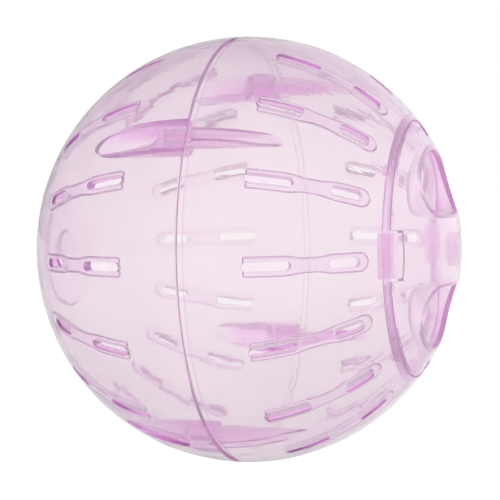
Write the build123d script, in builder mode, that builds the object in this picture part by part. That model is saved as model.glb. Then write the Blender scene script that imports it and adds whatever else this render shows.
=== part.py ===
from build123d import *
import os
from math import acos, asin, cos, degrees, hypot, isclose, radians, sin, sqrt

# Hamster ball: two moulded half shells that push together and a round door.
# Millimetres. The origin is the ball's centre, +X runs through the door's middle and +Z is up.
# Angles round the X axis start at +Z and grow towards -Y, the side that faces the viewer.

# Ball
ball_radius = 70.0
wall = 1.4
seam_gap = 1.75
seam_chamfer = 0.3
half_turn = 1.3
fit_gap = 0.3
overrun = 5.0
probe_share = 0.3
match_share = 0.0001

# Vents: a boss on the inside, flush outside, forked towards the seam, with two slots through it
vent_count = 16
vent_tilt = 31.9
vent_boss_height = 1.2
vent_round = 1.0
vent_share = 0.27
fork_width = 6.1
fork_share = 0.64
fork_corner = 0.7
neck_width = 4.6
neck_start_share = 0.106
neck_end_share = 0.183
loop_width = 5.9
loop_start_share = 0.37
vent_blend_share = 0.635
slot_width = 2.85
fork_slot_share = 0.746
fork_slot_overhang = 0.55
loop_slot_share = 0.524
loop_rim = 2.95

# Connectors: four tongues on the door half push into four sockets on the blank half
connector_count = 4
connector_angle = 56.25
connector_wall = 1.0
tongue_width = 4.8
tongue_depth = 5.9
socket_width = 11.4
socket_depth = 7.5
socket_end_wall = 1.4
scoop_wall = 2.0

# Pole of the blank half: a thicker disc on the inside, with a thicker button in its middle
disc_radius = 18.8
disc_height = 0.8
disc_slope = 0.7
button_radius = 6.5
button_height = 1.6
button_slope = 0.6

# Door opening, with a collar and four ledges that the door's lugs turn under
opening_share = 0.5857
opening_chamfer = 0.35
collar_wall = 1.4
collar_depth = 2.9
ledge_width = 2.1
ledge_thickness = 1.2
ledge_count = 4
ledge_lead = 1.75
ledge_arc = 41.0
stop_arc = 3.0
stop_drop = 1.6

# Door
skirt_wall = 1.3
pocket_land = 3.8
pocket_edge_share = 0.34
pocket_corner_share = 0.244
pocket_depth_share = 0.1657
pocket_draft = 6.0
pocket_wall = 1.3
pocket_floor_round = 1.6
pocket_lip = 0.5
pole_boss_radius = 5.5
pole_boss_height = 2.2

# Lugs: legs under the door's rim with hooks that point outwards
lug_count = 4
lug_width = 13.4
leg_wall = 1.4
hook_thickness = 1.25
tab_land = 1.0
tab_slit = 0.85
tab_step = 0.4

inner_radius = ball_radius - wall
mid_radius = ball_radius - wall / 2
vent_floor = inner_radius - vent_boss_height
vent_half_length = vent_share * ball_radius
vent_step = 360 / vent_count
vent_angles = [half_turn + i * vent_step for i in range(vent_count)]
connector_step = 360 / connector_count
connector_start = half_turn + connector_angle
connector_angles = [connector_start + i * connector_step for i in range(connector_count)]
ledge_angles = [i * 360 / ledge_count for i in range(ledge_count)]
lug_angles = [i * 360 / lug_count for i in range(lug_count)]
pocket_angles = [0, 180]
clear_of_vents = (0, 0, 90)

tongue_floor = inner_radius - tongue_depth
tongue_reach = socket_depth - fit_gap
socket_floor = tongue_floor - fit_gap - connector_wall

opening_radius = opening_share * ball_radius
opening_top = sqrt(ball_radius**2 - opening_radius**2)
collar_foot = opening_top - collar_depth
ledge_bore = opening_radius - ledge_width
ledge_top = collar_foot + ledge_thickness

door_radius = opening_radius - fit_gap
leg_radius = ledge_bore - fit_gap
leg_inside = leg_radius - leg_wall
ledge_start = degrees(asin((lug_width / 2 + ledge_lead) / door_radius))
hook_top = collar_foot - fit_gap
hook_foot = hook_top - hook_thickness
tab_root_radius = leg_inside - tab_land
pocket_radius = tab_root_radius - pocket_land
pocket_edge = pocket_edge_share * pocket_radius
pocket_corner = pocket_corner_share * pocket_radius
pocket_floor = (1 - pocket_depth_share) * ball_radius


def turned(angles):
    """Places turned about the ball's axis."""
    return [Location((0, 0, 0), (angle, 0, 0)) for angle in angles]


def on_circle(radius, angle):
    """Point of a profile, at an angle from the axis."""
    return (radius * cos(radians(angle)), radius * sin(radians(angle)))


def sphere_arc(radius, start, end):
    """Arc of a profile, about the ball's centre."""
    middle = (start + end) / 2
    return ThreePointArc(on_circle(radius, start), on_circle(radius, middle), on_circle(radius, end))


def angle_at(radius, rho):
    """Angle from the axis at which a sphere is rho away from the axis."""
    return degrees(asin(rho / radius))


def vent_plane(side):
    """Plane square to the ball at a vent's middle, its x axis towards the pole on that side."""
    tilt = radians(vent_tilt)
    return Plane(
        origin=(0, 0, 0),
        x_dir=(side * cos(tilt), 0, -sin(tilt)),
        z_dir=(side * sin(tilt), 0, cos(tilt)),
    )


def on_vent_floor(edge):
    """True for the edges round a vent boss's inner face."""
    return isclose((edge @ probe_share).length, vent_floor, rel_tol=match_share)


def make_vent_boss(side):
    """Thicker wall round one vent, at the top of the ball."""
    end_radius = loop_width / 2
    loop_middle = vent_half_length - end_radius
    fork_end = (fork_share - 1) * vent_half_length
    neck_start = -neck_start_share * vent_half_length
    neck_end = neck_end_share * vent_half_length
    loop_start = loop_start_share * vent_half_length
    blend = vent_blend_share * vent_half_length
    with BuildPart() as boss:
        with BuildSketch(vent_plane(side)):
            with BuildLine():
                edge = FilletPolyline(
                    (-vent_half_length, 0),
                    (-vent_half_length, fork_width / 2),
                    (fork_end, fork_width / 2),
                    (neck_start, neck_width / 2),
                    (neck_end, neck_width / 2),
                    (loop_start, loop_width / 2),
                    (loop_middle, loop_width / 2),
                    radius=[fork_corner, blend, blend, blend, blend],
                )
                RadiusArc(edge @ 1, (vent_half_length, 0), end_radius)
                mirror(about=Plane.XZ)
            make_face()
        extrude(amount=ball_radius)
        Sphere(mid_radius, rotation=clear_of_vents, mode=Mode.INTERSECT)
        Sphere(vent_floor, rotation=clear_of_vents, mode=Mode.SUBTRACT)
        fillet(boss.edges().filter_by(on_vent_floor), radius=vent_round)
    return boss.part


def make_vent_slots(side):
    """The two slots of one vent."""
    fork_slot_length = fork_slot_share * vent_half_length
    loop_slot_length = loop_slot_share * vent_half_length
    fork_slot_middle = -vent_half_length - fork_slot_overhang + fork_slot_length / 2
    loop_slot_middle = vent_half_length - loop_rim - loop_slot_length / 2
    with BuildPart() as slots:
        with BuildSketch(vent_plane(side).offset(ball_radius / 2)):
            with Locations((fork_slot_middle, 0)):
                SlotOverall(fork_slot_length, slot_width)
            with Locations((loop_slot_middle, 0)):
                SlotOverall(loop_slot_length, slot_width)
        extrude(amount=ball_radius / 2 + overrun)
    return slots.part


def make_trough(radius, floor, start, end):
    """Round-bottomed bar along the ball's axis, with straight sides upwards, at the top of the ball."""
    with BuildPart() as trough:
        with BuildSketch(Plane.YZ.offset(start)):
            with Locations((0, floor + radius)):
                Circle(radius)
                Rectangle(2 * radius, ball_radius, align=(Align.CENTER, Align.MIN))
        extrude(amount=end - start)
    return trough.part


def make_tongue():
    """Hollow tongue along the inside of the door half, at the top of the ball."""
    radius = tongue_width / 2
    hollow_radius = radius - connector_wall
    free_top = sqrt(inner_radius**2 - tongue_reach**2 - radius**2) - fit_gap
    with BuildPart() as fixed:
        add(make_trough(radius, tongue_floor, seam_gap, ball_radius))
        Sphere(mid_radius, mode=Mode.INTERSECT)
    with BuildPart() as free:
        add(make_trough(radius, tongue_floor, -tongue_reach, seam_gap))
        with Locations((0, 0, free_top)):
            Box(
                ball_radius,
                ball_radius,
                2 * ball_radius,
                align=(Align.CENTER, Align.CENTER, Align.MIN),
                mode=Mode.SUBTRACT,
            )
    with BuildPart() as hollow:
        add(make_trough(hollow_radius, tongue_floor + connector_wall, -tongue_reach - overrun, ball_radius))
        Sphere(inner_radius, mode=Mode.INTERSECT)
    return fixed.part + free.part - hollow.part


def make_socket():
    """Block on the inside of the blank half that a tongue pushes into, at the top of the ball."""
    with BuildPart() as socket:
        add(make_trough(socket_width / 2, socket_floor, -ball_radius, 0))
        Sphere(mid_radius, mode=Mode.INTERSECT)
    with BuildPart() as cavity:
        add(make_trough(tongue_width / 2 + fit_gap, tongue_floor - fit_gap, -socket_depth, overrun))
        Sphere(inner_radius, mode=Mode.INTERSECT)
    return socket.part - cavity.part


def make_scoop():
    """Trough behind a socket's end wall, cut in from outside, round at its start."""
    radius = socket_width / 2 - scoop_wall
    floor = socket_floor + connector_wall
    middle = -socket_depth - socket_end_wall - radius
    with BuildPart() as scoop:
        add(make_trough(radius, floor, -ball_radius - overrun, middle))
        with Locations((middle, 0, floor + radius)):
            Sphere(radius)
            Cylinder(radius, ball_radius, align=(Align.CENTER, Align.CENTER, Align.MIN))
    return scoop.part


def make_ledge():
    """One ledge inside the collar, with a stop under its far end."""
    start = radians(ledge_start)
    stop_start = radians(ledge_start + ledge_arc - stop_arc)
    ledge_plane = Plane(origin=(0, 0, 0), x_dir=(1, 0, 0), z_dir=(0, -cos(start), -sin(start)))
    stop_plane = Plane(
        origin=(0, 0, 0), x_dir=(1, 0, 0), z_dir=(0, -cos(stop_start), -sin(stop_start))
    )
    ledge_reach = ledge_width + collar_wall / 2
    with BuildPart() as ledge:
        with BuildSketch(ledge_plane):
            with Locations((collar_foot, ledge_bore)):
                Rectangle(ledge_thickness, ledge_reach, align=(Align.MIN, Align.MIN))
        revolve(axis=Axis.X, revolution_arc=ledge_arc)
        with BuildSketch(stop_plane):
            with Locations((collar_foot, ledge_bore)):
                Rectangle(stop_drop, ledge_width, align=(Align.MAX, Align.MIN))
        revolve(axis=Axis.X, revolution_arc=stop_arc)
    return ledge.part


def make_pocket(grow, floor):
    """Tapered body of a finger pocket, above the axis, from the pole's plane down to a floor."""
    with BuildPart() as pocket:
        with BuildSketch(Plane.YZ.offset(ball_radius)) as outline:
            Circle(pocket_radius + grow)
            with Locations((0, pocket_edge - grow)):
                Rectangle(
                    2 * ball_radius,
                    2 * ball_radius,
                    align=(Align.CENTER, Align.MAX),
                    mode=Mode.SUBTRACT,
                )
            fillet(outline.vertices(), radius=pocket_corner + grow)
        extrude(amount=floor - ball_radius, taper=pocket_draft)
        floor_edges = pocket.faces().sort_by(Axis.X)[0].edges()
        fillet(floor_edges, radius=pocket_floor_round + grow)
    return pocket.part


def on_pocket_lip(edge):
    """True for a pocket's mouth: on the ball, inside the tabs' roots, off the crown's own seam."""
    spot = edge @ probe_share
    on_ball = isclose(spot.length, ball_radius, rel_tol=match_share)
    inside_tabs = hypot(spot.Y, spot.Z) < tab_root_radius
    on_seam = abs(spot.Y) < match_share * ball_radius
    return on_ball and inside_tabs and not on_seam


def make_lug():
    """One leg with its hook, under the door's rim at the top of the ball."""
    wall_inside = sqrt(inner_radius**2 - leg_inside**2)
    wall_outside = sqrt((ball_radius - tab_step) ** 2 - leg_radius**2)
    leg_top = (wall_inside + wall_outside) / 2
    with BuildPart() as lug:
        with BuildSketch(Plane.XZ):
            with Locations((hook_foot, leg_radius)):
                Rectangle(leg_top - hook_foot, leg_wall, align=(Align.MIN, Align.MAX))
                Rectangle(hook_thickness, door_radius - leg_radius, align=(Align.MIN, Align.MIN))
        revolve(axis=Axis.X)
        with BuildSketch(Plane.XY):
            Rectangle(ball_radius, lug_width, align=(Align.MIN, Align.CENTER))
        extrude(amount=ball_radius, mode=Mode.INTERSECT)
    return lug.part


def make_tab_prism(offset, width):
    """Block across the door's rim, from a tab's root outwards, at the top of the ball."""
    with BuildPart() as prism:
        with BuildSketch(Plane.XY.offset(tab_root_radius)):
            with Locations((hook_foot, offset)):
                Rectangle(ball_radius + overrun - hook_foot, width, align=(Align.MIN, Align.CENTER))
        extrude(amount=ball_radius - tab_root_radius)
    return prism.part


# Door half
door_seam_angle = degrees(acos((seam_gap + seam_chamfer) / ball_radius))
door_seam_inside = degrees(acos(seam_gap / inner_radius))
door_seam_top = sqrt(ball_radius**2 - seam_gap**2) - seam_chamfer
opening_angle = angle_at(ball_radius, opening_radius + opening_chamfer)
collar_angle = angle_at(inner_radius, opening_radius + collar_wall)

door_vent_boss = make_vent_boss(1)
door_vent_slots = make_vent_slots(1)
tongue_tool = make_tongue()
ledge_tool = make_ledge()

with BuildPart() as door_half:
    with BuildSketch(Plane.XZ):
        with BuildLine():
            outer = sphere_arc(ball_radius, door_seam_angle, opening_angle)
            inside = sphere_arc(inner_radius, collar_angle, door_seam_inside)
            Polyline(
                outer @ 1,
                (opening_top - opening_chamfer, opening_radius),
                (collar_foot, opening_radius),
                (collar_foot, opening_radius + collar_wall),
                inside @ 0,
            )
            Polyline(inside @ 1, (seam_gap, door_seam_top), outer @ 0)
        make_face()
    revolve(axis=Axis.X)
    with Locations(*turned(vent_angles)):
        add(door_vent_boss)
    with Locations(*turned(connector_angles)):
        add(tongue_tool)
    with Locations(*turned(ledge_angles)):
        add(ledge_tool)
    with Locations(*turned(vent_angles)):
        add(door_vent_slots, mode=Mode.SUBTRACT)

# Blank half
seam_angle = degrees(acos(seam_chamfer / ball_radius))
disc_angle = angle_at(inner_radius, disc_radius)
disc_foot_angle = angle_at(inner_radius, disc_radius + disc_slope)
button_angle = angle_at(inner_radius, button_radius)
button_foot_angle = angle_at(inner_radius, button_radius + button_slope)

blank_vent_boss = make_vent_boss(-1)
blank_vent_slots = make_vent_slots(-1)
socket_tool = make_socket()
scoop_tool = make_scoop()

with BuildPart() as blank_half:
    with BuildSketch(Plane.XZ):
        with BuildLine():
            outer = sphere_arc(ball_radius, 180 - seam_angle, 180)
            button = sphere_arc(inner_radius - button_height, 180, 180 - button_angle)
            disc = sphere_arc(inner_radius - disc_height, 180 - button_foot_angle, 180 - disc_angle)
            inside = sphere_arc(inner_radius, 180 - disc_foot_angle, 90)
            Line(outer @ 1, button @ 0)
            Line(button @ 1, disc @ 0)
            Line(disc @ 1, inside @ 0)
            Polyline(inside @ 1, (0, ball_radius - seam_chamfer), outer @ 0)
        make_face()
    revolve(axis=Axis.X)
    with Locations(*turned(vent_angles)):
        add(blank_vent_boss)
    with Locations(*turned(connector_angles)):
        add(socket_tool)
    with Locations(*turned(connector_angles)):
        add(scoop_tool, mode=Mode.SUBTRACT)
    with Locations(*turned(vent_angles)):
        add(blank_vent_slots, mode=Mode.SUBTRACT)

# Door
door_rim_angle = angle_at(ball_radius, door_radius - opening_chamfer)
door_inner_angle = angle_at(inner_radius, door_radius - skirt_wall)
door_top = sqrt(ball_radius**2 - door_radius**2)
pole_boss_angle = angle_at(inner_radius, pole_boss_radius)

pocket_blank = make_pocket(pocket_wall, pocket_floor - pocket_wall)
pocket_cut = make_pocket(0, pocket_floor)
lug_tool = make_lug()
slit_offset = (lug_width + tab_slit) / 2
tab_slits = [make_tab_prism(side * slit_offset, tab_slit) for side in (-1, 1)]
tab_prism = make_tab_prism(0, lug_width)

with BuildPart() as pocket_body:
    add(pocket_blank)
    Sphere(mid_radius, mode=Mode.INTERSECT)

with BuildPart() as skirt_window:
    add(tab_prism)
    Sphere(inner_radius, mode=Mode.INTERSECT)

with BuildPart() as tab_recess:
    add(tab_prism)
    Sphere(ball_radius - tab_step, mode=Mode.SUBTRACT)

with BuildPart() as door:
    with BuildSketch(Plane.XZ):
        with BuildLine():
            crown = sphere_arc(ball_radius, 0, door_rim_angle)
            ceiling = sphere_arc(inner_radius, door_inner_angle, pole_boss_angle)
            pole_boss = sphere_arc(inner_radius - pole_boss_height, pole_boss_angle, 0)
            Polyline(
                crown @ 1,
                (door_top - opening_chamfer, door_radius),
                (ledge_top, door_radius),
                (ledge_top, door_radius - skirt_wall),
                ceiling @ 0,
            )
            Line(ceiling @ 1, pole_boss @ 0)
            Line(pole_boss @ 1, crown @ 0)
        make_face()
    revolve(axis=Axis.X)
    with Locations(*turned(lug_angles)):
        add(skirt_window.part, mode=Mode.SUBTRACT)
        add(tab_slits, mode=Mode.SUBTRACT)
        add(tab_recess.part, mode=Mode.SUBTRACT)
        add(lug_tool)
    with Locations(*turned(pocket_angles)):
        add(pocket_body.part)
    with Locations(*turned(pocket_angles)):
        add(pocket_cut, mode=Mode.SUBTRACT)
    fillet(door.edges().filter_by(on_pocket_lip), radius=pocket_lip)

door.part.label = "door"
door_half.part.label = "door_half"
blank_half.part.label = "blank_half"

os.makedirs("parts", exist_ok=True)
export_step(door_half.part, "parts/door_half.step")
export_step(blank_half.part, "parts/blank_half.step")
export_step(door.part, "parts/door.step")
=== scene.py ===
from math import cos, pi, radians, sin

import bmesh
import bpy
from mathutils import Matrix, Vector


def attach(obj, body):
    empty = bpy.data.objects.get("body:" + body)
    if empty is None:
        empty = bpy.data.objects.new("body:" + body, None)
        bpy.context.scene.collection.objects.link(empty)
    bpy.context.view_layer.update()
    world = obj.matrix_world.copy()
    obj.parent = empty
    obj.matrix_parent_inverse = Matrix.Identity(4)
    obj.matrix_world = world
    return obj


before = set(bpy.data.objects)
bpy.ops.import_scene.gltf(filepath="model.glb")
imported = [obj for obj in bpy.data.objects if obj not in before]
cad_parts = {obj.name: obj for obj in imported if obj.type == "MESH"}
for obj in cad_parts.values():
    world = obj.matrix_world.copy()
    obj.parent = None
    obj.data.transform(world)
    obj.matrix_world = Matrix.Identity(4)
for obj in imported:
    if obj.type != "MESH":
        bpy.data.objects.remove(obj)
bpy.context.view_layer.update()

# Metres and degrees. The ball's centre is the origin, +X runs through the door, +Z is up and the
# viewer is on -Y. The seam runs from x = 0, where the blank half ends, to the door half's rim.
ball_radius = 0.07
wall = 0.0014
seam_gap = 0.00175
off_axis = (0, 1, 1)

# Lip: a thin ring on the door half's rim that closes the seam. It stands in from the inside of the
# shell and clear of the blank half, and a hair off the rim so that no two faces coincide.
lip_inset = 0.00005
lip_thickness = 0.0005
lip_chamfer = 0.0001
lip_clearance = 0.00012
lip_joint = 0.00002
lip_steps = 720
lip_crease = radians(30)

# Camera: turned towards the door and slightly raised
camera_yaw = 17.7
camera_rise = 3.15
camera_roll = 0.2
camera_distance = 0.49
camera_lens = 106.16
camera_sensor = 36.0
camera_shift = (0.00132, -0.00114)
camera_clip = 0.01

# Clear pink plastic
plastic_ior = 1.5
plastic_clearness = 0.87
absorption_colour = (0.77, 0.03, 0.76, 1.0)
shadow_tint = (0.96, 0.90, 0.95, 1.0)

# Fine scuffs, tint clouds, mould waves, and flow streaks from pole to pole
noise_span = (0.3, 0.7)
scuff_scale = 60.0
scuff_detail = 4.0
scuff_roughness = (0.035, 0.070)
cloud_scale = 28.0
cloud_detail = 3.0
wave_scale = 55.0
wave_detail = 2.0
wave_strength = 0.25
wave_height = 0.0006
streak_scale = 5.0
streak_detail = 3.0
streak_run = 8.0
streak_strength = 0.3
streak_height = 0.0006
streak_fade = (0.012, 0.030)

# How squarely a face looks along the ball's radius: 1 on the outer skin, -1 on the inner one, 0 on a
# side wall
edge_slope = (0.98, 0.72)
outer_facing = 0.5

# Where the painted shade on the inner and sunken features starts and where it is full: distances
# from the ball's centre or from its axis, or places along the axis. The pockets take only a share
# of it.
connector_depth = (0.0672, 0.0658)
opening_rim = (0.0525, 0.0545)
skirt_reach = (0.0365, 0.0385)
pole_boss_reach = (0.0066, 0.0060)
pocket_depth = (0.0660, 0.0615)
pocket_share = 0.3
whole = 1.0

# The skin's tint lies between two colours. The edge colour is painted shading on the side walls:
# painted shade on the shell, a painted highlight on the door. The painted shade on the inner and
# sunken features stays off faces that look outwards more squarely than deep_facing. Roughness is
# that of side walls, then of the shaded features.
shell_look = {
    "skin": ((0.887, 0.902, 0.865, 1.0), (0.917, 0.932, 0.895, 1.0)),
    # Painted shade on the side walls and, darker, on the inner and sunken features
    "edge": (0.90, 0.78, 0.89, 1.0),
    "deep_shade": (0.90, 0.64, 0.88, 1.0),
    "deep_places": (("centre", connector_depth, whole), ("along", opening_rim, whole)),
    "deep_facing": 0.5,
    "roughness": (0.20, 0.38),
    "density": 62.0,
    "noise_shift": (0.0, 0.0, 0.0),
}
door_look = {
    "skin": ((0.888, 0.848, 0.862, 1.0), (0.918, 0.878, 0.892, 1.0)),
    # Painted highlight on the side walls, painted shade on the skirt, pole boss and pockets
    "edge": (0.95, 0.93, 0.93, 1.0),
    "deep_shade": (0.80, 0.54, 0.80, 1.0),
    "deep_places": (
        ("axis", skirt_reach, whole),
        ("axis", pole_boss_reach, whole),
        ("centre", pocket_depth, pocket_share),
    ),
    "deep_facing": 0.85,
    "roughness": (0.12, 0.30),
    "density": 36.0,
    "noise_shift": (0.3, 0.1, 0.2),
}

# Floor: nearly white to the camera; a painted shadow makes it a little darker under the ball as seen through
# it
floor_size = 12.0
floor_colour = (0.30, 0.30, 0.30, 1.0)
floor_camera_glow = 0.905
painted_floor_shadow = (0.94, 1.0)
painted_shadow_reach = (0.08, 0.55)

# World: white round the horizon, greyer below and overhead. The band's ends are heights, 0 at the
# nadir and 1 at the zenith.
world_low = 0.78
world_horizon = 1.0
world_high = 0.38
horizon_band = (0.40, 0.66)
white = (1.0, 1.0, 1.0, 1.0)

# Levels for reflections: away from the bright side, then towards it. On the floor they make a painted
# glow, brighter towards the bright side.
bright_side = (0.67, 0.74, 0.10)
bright_reach = (0.45, 0.95)
floor_mirrored = (0.82, 1.15)
world_mirrored = (0.55, 1.35)

# Soft lamps: name, place, diameter and power in watts
lamps = (
    ("key", (0.38, -0.80, 0.36), 0.6, 5.6),
    ("top", (-0.15, -0.1, 1.1), 0.8, 0.9),
)
light_bounces = {
    "max_bounces": 40,
    "transmission_bounces": 40,
    "transparent_max_bounces": 40,
    "glossy_bounces": 8,
    "diffuse_bounces": 4,
}

# A Mix node's sockets for the first value, the second value and the result
mix_sockets = {"FLOAT": (2, 3, 0), "RGBA": (6, 7, 2)}


def feed(tree, socket, value):
    """Links another node's output to a socket, or sets the socket to a constant."""
    if isinstance(value, bpy.types.NodeSocket):
        tree.links.new(value, socket)
    else:
        socket.default_value = value


def add_node(tree, kind, inputs=None, **settings):
    """New shader node with its settings and inputs filled in."""
    node = tree.nodes.new(kind)
    for name, value in settings.items():
        setattr(node, name, value)
    for key, value in (inputs or {}).items():
        feed(tree, node.inputs[key], value)
    return node


def calculate(tree, operation, *values):
    """Output of a Math node."""
    return add_node(tree, "ShaderNodeMath", dict(enumerate(values)), operation=operation).outputs["Value"]


def combine(tree, operation, *vectors):
    """Output of a Vector Math node, which is a vector or a number."""
    node = add_node(tree, "ShaderNodeVectorMath", dict(enumerate(vectors)), operation=operation)
    return node.outputs["Value" if operation in ("LENGTH", "DOT_PRODUCT") else "Vector"]


def spread(tree, value, start, end=(0.0, 1.0)):
    """Maps a value from one range onto another and stops at its ends."""
    inputs = {"Value": value, "From Min": start[0], "From Max": start[1], "To Min": end[0], "To Max": end[1]}
    return add_node(tree, "ShaderNodeMapRange", inputs).outputs["Result"]


def mix(tree, kind, factor, first, second):
    """Mixes two numbers or two colours."""
    first_socket, second_socket, result = mix_sockets[kind]
    inputs = {"Factor": factor, first_socket: first, second_socket: second}
    return add_node(tree, "ShaderNodeMix", inputs, data_type=kind).outputs[result]


def noise(tree, coords, scale, detail):
    """Fractal noise."""
    inputs = {"Vector": coords, "Scale": scale, "Detail": detail}
    return add_node(tree, "ShaderNodeTexNoise", inputs).outputs["Fac"]


def new_material(name):
    """Empty node material, with its output node."""
    material = bpy.data.materials.new(name)
    material.use_nodes = True
    tree = material.node_tree
    tree.nodes.clear()
    return material, tree, add_node(tree, "ShaderNodeOutputMaterial")


def measure(tree, position, kind):
    """Distance from the ball's centre or from its axis, or place along the axis."""
    if kind == "along":
        return add_node(tree, "ShaderNodeSeparateXYZ", {"Vector": position}).outputs["X"]
    if kind == "axis":
        position = combine(tree, "MULTIPLY", position, off_axis)
    return combine(tree, "LENGTH", position)


def deep_mask(tree, position, places):
    """How far a point lies within the features that get painted shade, from 0 to each one's share."""
    deep_shade = 0.0
    for kind, limits, share in places:
        within = spread(tree, measure(tree, position, kind), limits, (0.0, share))
        deep_shade = calculate(tree, "MAXIMUM", deep_shade, within)
    return deep_shade


def plastic_tint(tree, coords, facing, edge, deep_shade, look):
    """Cloudy skin, with the side walls' painted shading and the painted shade of sunken and inner features
    over it.
    """
    cloud = spread(tree, noise(tree, coords, cloud_scale, cloud_detail), noise_span)
    skin = mix(tree, "RGBA", cloud, *look["skin"])
    walled = mix(tree, "RGBA", edge, skin, look["edge"])
    inward = calculate(tree, "LESS_THAN", facing, look["deep_facing"])
    return mix(tree, "RGBA", calculate(tree, "MULTIPLY", deep_shade, inward), walled, look["deep_shade"])


def plastic_roughness(tree, coords, edge, deep_shade, look):
    """Polished skins with fine scuffs, and satin side walls."""
    polished = spread(tree, noise(tree, coords, scuff_scale, scuff_detail), noise_span, scuff_roughness)
    satin = spread(tree, deep_shade, (0.0, 1.0), look["roughness"])
    return mix(tree, "FLOAT", edge, polished, satin)


def plastic_normal(tree, position, coords, facing):
    """Mould waves and flow streaks on the outer skin. The streaks fade out at the poles."""
    outer = calculate(tree, "GREATER_THAN", facing, outer_facing)
    wave = calculate(tree, "MULTIPLY", noise(tree, coords, wave_scale, wave_detail), outer)
    waves = {"Strength": wave_strength, "Distance": wave_height, "Height": wave}
    waved = add_node(tree, "ShaderNodeBump", waves).outputs["Normal"]

    spoke = combine(tree, "NORMALIZE", combine(tree, "MULTIPLY", position, off_axis))
    along = combine(tree, "MULTIPLY_ADD", position, (streak_run, 0, 0), spoke)
    streak = calculate(tree, "MULTIPLY", noise(tree, along, streak_scale, streak_detail), outer)
    faded = calculate(tree, "MULTIPLY", streak, spread(tree, measure(tree, position, "axis"), streak_fade))
    streaks = {"Strength": streak_strength, "Distance": streak_height, "Height": faded, "Normal": waved}
    return add_node(tree, "ShaderNodeBump", streaks).outputs["Normal"]


def clear_plastic(name, look):
    """Clear plastic, tinted through its depth. Lamplight passes through it with a slight tint."""
    material, tree, output = new_material(name)
    place = add_node(tree, "ShaderNodeTexCoord")
    position = place.outputs["Object"]
    shifted = {"Vector": position, "Location": look["noise_shift"]}
    coords = add_node(tree, "ShaderNodeMapping", shifted).outputs["Vector"]
    facing = combine(tree, "DOT_PRODUCT", combine(tree, "NORMALIZE", position), place.outputs["Normal"])
    # Side walls get painted shading and satin roughness; inner and sunken features get painted shade.
    edge = spread(tree, calculate(tree, "ABSOLUTE", facing), edge_slope)
    deep_shade = deep_mask(tree, position, look["deep_places"])

    surface = {
        "Base Color": plastic_tint(tree, coords, facing, edge, deep_shade, look),
        "Roughness": plastic_roughness(tree, coords, edge, deep_shade, look),
        "Normal": plastic_normal(tree, position, coords, facing),
        "IOR": plastic_ior,
        "Transmission Weight": plastic_clearness,
    }
    plastic = add_node(tree, "ShaderNodeBsdfPrincipled", surface).outputs["BSDF"]
    shadow = add_node(tree, "ShaderNodeBsdfTransparent", {"Color": shadow_tint}).outputs["BSDF"]
    shadow_ray = add_node(tree, "ShaderNodeLightPath").outputs["Is Shadow Ray"]
    mixed = add_node(tree, "ShaderNodeMixShader", {0: shadow_ray, 1: plastic, 2: shadow})
    absorption = {"Color": absorption_colour, "Density": look["density"]}
    depth = add_node(tree, "ShaderNodeVolumeAbsorption", absorption)
    feed(tree, output.inputs["Surface"], mixed.outputs["Shader"])
    feed(tree, output.inputs["Volume"], depth.outputs["Volume"])
    return material


def paint(piece, material):
    """Gives a piece its material."""
    piece.data.materials.clear()
    piece.data.materials.append(material)


def make_lip(material):
    """Thin lip on the door half's rim, chamfered where it meets the blank half."""
    inside = ball_radius - wall + lip_inset
    outside = inside + lip_thickness
    tip, root = lip_clearance, seam_gap - lip_joint
    profile = (
        (root, inside),
        (tip + lip_chamfer, inside),
        (tip, inside + lip_chamfer),
        (tip, outside - lip_chamfer),
        (tip + lip_chamfer, outside),
        (root, outside),
    )
    form = bmesh.new()
    rings = []
    for step in range(lip_steps):
        angle = 2 * pi * step / lip_steps
        rings.append([form.verts.new((x, radius * cos(angle), radius * sin(angle))) for x, radius in profile])
    for ring, following in zip(rings, rings[1:] + rings[:1]):
        for corner in range(len(profile)):
            face = form.faces.new((ring[corner - 1], ring[corner], following[corner], following[corner - 1]))
            face.smooth = True
    bmesh.ops.recalc_face_normals(form, faces=form.faces)
    for edge in form.edges:
        edge.smooth = edge.calc_face_angle() < lip_crease
    mesh = bpy.data.meshes.new("seam_lip")
    form.to_mesh(mesh)
    form.free()
    lip = bpy.data.objects.new("seam_lip", mesh)
    bpy.context.scene.collection.objects.link(lip)
    paint(lip, material)
    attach(lip, "door_half")


def mirrored_level(tree, direction, levels):
    """Brightness for reflections, which grows towards the bright side."""
    towards = combine(tree, "DOT_PRODUCT", direction, Vector(bright_side).normalized())
    return spread(tree, towards, bright_reach, levels)


def make_floor():
    """Pale floor that the ball stands on. Rays other than the camera's see a painted shadow under the ball,
    and reflections see a painted glow towards the bright side.
    """
    bpy.ops.mesh.primitive_plane_add(size=floor_size, location=(0, 0, -ball_radius))
    floor = bpy.context.object
    floor.name = "floor"
    material, tree, output = new_material("pale_floor")
    path = add_node(tree, "ShaderNodeLightPath")
    lit = add_node(tree, "ShaderNodeBsdfDiffuse", {"Color": floor_colour}).outputs["BSDF"]
    glow = add_node(tree, "ShaderNodeEmission", {"Strength": floor_camera_glow}).outputs["Emission"]
    seen = add_node(tree, "ShaderNodeAddShader", {0: lit, 1: glow}).outputs["Shader"]

    position = add_node(tree, "ShaderNodeTexCoord").outputs["Object"]
    painted_shadow = spread(tree, combine(tree, "LENGTH", position), painted_shadow_reach, painted_floor_shadow)
    mirrored = mirrored_level(tree, combine(tree, "NORMALIZE", position), floor_mirrored)
    level = mix(tree, "FLOAT", path.outputs["Is Transmission Ray"], mirrored, 1.0)
    strength = calculate(tree, "MULTIPLY", painted_shadow, level)
    plain = add_node(tree, "ShaderNodeEmission", {"Strength": strength}).outputs["Emission"]
    mixed = add_node(tree, "ShaderNodeMixShader", {0: path.outputs["Is Camera Ray"], 1: plain, 2: seen})
    feed(tree, output.inputs["Surface"], mixed.outputs["Shader"])
    paint(floor, material)


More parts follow.
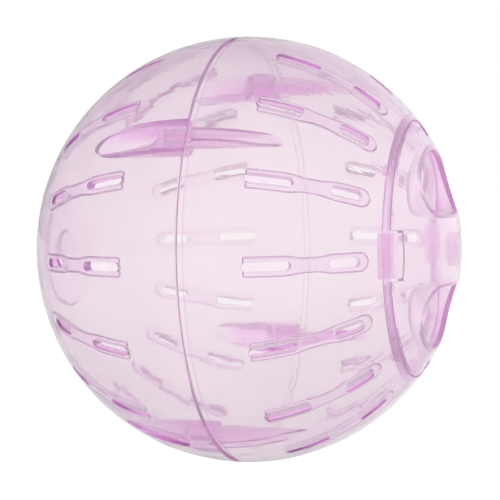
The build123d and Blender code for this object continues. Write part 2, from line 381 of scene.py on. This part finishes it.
def make_world():
    """White room that greys towards the zenith, plain white behind the ball."""
    world = bpy.data.worlds.new("studio")
    bpy.context.scene.world = world
    world.use_nodes = True
    tree = world.node_tree
    tree.nodes.clear()
    output = add_node(tree, "ShaderNodeOutputWorld")
    path = add_node(tree, "ShaderNodeLightPath")
    direction = add_node(tree, "ShaderNodeTexCoord").outputs["Generated"]
    height = add_node(tree, "ShaderNodeSeparateXYZ", {"Vector": direction}).outputs["Z"]
    ramp = add_node(tree, "ShaderNodeValToRGB", {"Fac": spread(tree, height, (-1.0, 1.0))})
    stops = ramp.color_ramp.elements
    stops[0].color = (world_low, world_low, world_low, 1.0)
    stops[1].color = (world_high, world_high, world_high, 1.0)
    for place in horizon_band:
        stops.new(place).color = (world_horizon, world_horizon, world_horizon, 1.0)

    mirrored = mirrored_level(tree, direction, world_mirrored)
    level = mix(tree, "FLOAT", path.outputs["Is Transmission Ray"], mirrored, 1.0)
    room = add_node(tree, "ShaderNodeBackground", {"Color": ramp.outputs["Color"], "Strength": level})
    backdrop = add_node(tree, "ShaderNodeBackground", {"Color": white})
    shaders = {0: path.outputs["Is Camera Ray"], 1: room.outputs[0], 2: backdrop.outputs[0]}
    mixed = add_node(tree, "ShaderNodeMixShader", shaders)
    feed(tree, output.inputs["Surface"], mixed.outputs["Shader"])


def add_lamp(name, place, size, power):
    """Soft round lamp that faces the ball and isn't seen in it."""
    light = bpy.data.lights.new(name, "AREA")
    light.shape = "DISK"
    light.size = size
    light.energy = power
    lamp = bpy.data.objects.new(name, light)
    lamp.location = place
    lamp.rotation_euler = (-Vector(place)).to_track_quat("-Z", "Y").to_euler()
    lamp.visible_camera = False
    lamp.visible_glossy = False
    lamp.visible_transmission = False
    bpy.context.scene.collection.objects.link(lamp)


def add_camera():
    """Camera at the photo's angle."""
    rise = radians(camera_rise)
    yaw = radians(camera_yaw)
    front = Vector((0, -cos(rise), sin(rise)))
    above = Vector((0, sin(rise), cos(rise)))
    side = Vector((1, 0, 0))
    back = sin(yaw) * side + cos(yaw) * front
    up = (above + radians(camera_roll) * side).normalized()
    right = up.cross(back).normalized()
    up = back.cross(right)
    turn = Matrix((right, up, back)).transposed().to_4x4()
    data = bpy.data.cameras.new("camera")
    data.lens = camera_lens
    data.sensor_width = camera_sensor
    data.shift_x, data.shift_y = camera_shift
    data.clip_start = camera_clip
    camera = bpy.data.objects.new("camera", data)
    camera.matrix_world = Matrix.Translation(camera_distance * back) @ turn
    bpy.context.scene.collection.objects.link(camera)
    bpy.context.scene.camera = camera


shell_plastic = clear_plastic("shell_plastic", shell_look)
door_plastic = clear_plastic("door_plastic", door_look)
paint(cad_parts["door_half"], shell_plastic)
paint(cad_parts["blank_half"], shell_plastic)
paint(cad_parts["door"], door_plastic)
make_lip(shell_plastic)

make_floor()
make_world()
for lamp in lamps:
    add_lamp(*lamp)
add_camera()

scene = bpy.context.scene
scene.view_settings.view_transform = "Standard"
for kind, count in light_bounces.items():
    setattr(scene.cycles, kind, count)
